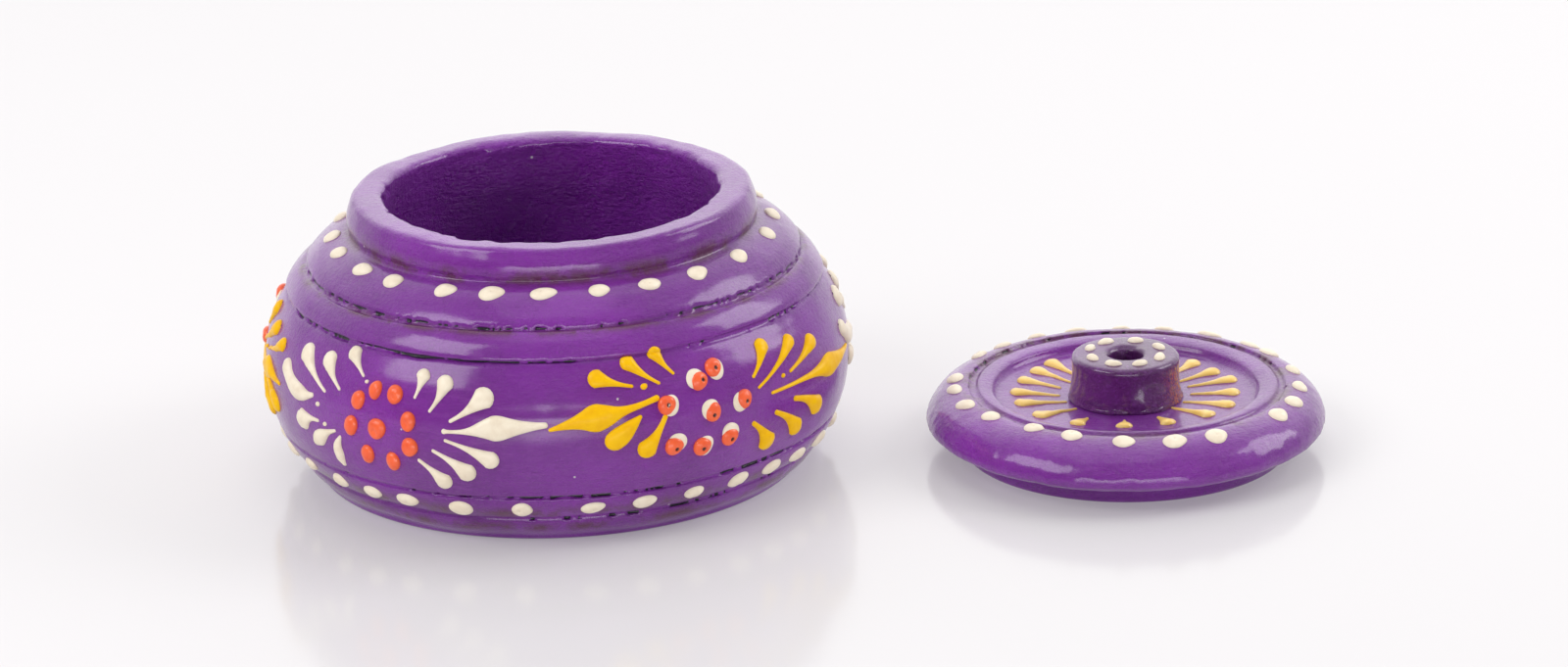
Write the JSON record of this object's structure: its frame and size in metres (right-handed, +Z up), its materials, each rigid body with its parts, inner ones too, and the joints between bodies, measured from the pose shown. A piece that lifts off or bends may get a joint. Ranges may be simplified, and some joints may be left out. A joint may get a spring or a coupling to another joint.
{
  "type": "diya oil lamp",
  "caption": "Squat hand-painted clay lamp pot with an open mouth, and its round lid with a pierced knob standing beside it.",
  "frame": {"origin": "centre of the pot's flat base, on the surface that the pot stands on", "axes": "+Z up along the pot's axis, +X from the pot towards the lid, and -Y the front"},
  "size_m": [0.1828, 0.1011, 0.0477],
  "materials": {
    "painted_clay": "semi-gloss purple paint on fired clay",
    "cream_paint": "raised piped paint, satin",
    "yellow_paint": "raised piped paint, satin",
    "orange_paint": "raised piped paint, glossy"
  },
  "bodies": {
    "pot": {"pot_body": "painted_clay", "shoulder_dots": "cream_paint", "foot_dots": "cream_paint", "cream_petals": "cream_paint", "orange_dots": "orange_paint", "yellow_petals": "yellow_paint", "cream_under_dots": "cream_paint", "orange_over_dots": "orange_paint"},
    "lid": {"lid_disc": "painted_clay", "lid_knob": "painted_clay", "lid_rim_dots": "cream_paint", "lid_strokes": "yellow_paint", "knob_dots": "cream_paint"}
  },
  "joints": [
    {"name": "lid_lift", "type": "slide", "parent": "pot", "child": "lid", "axis": [0, 0, 1], "range_m": [0, 0.06]}
  ]
}
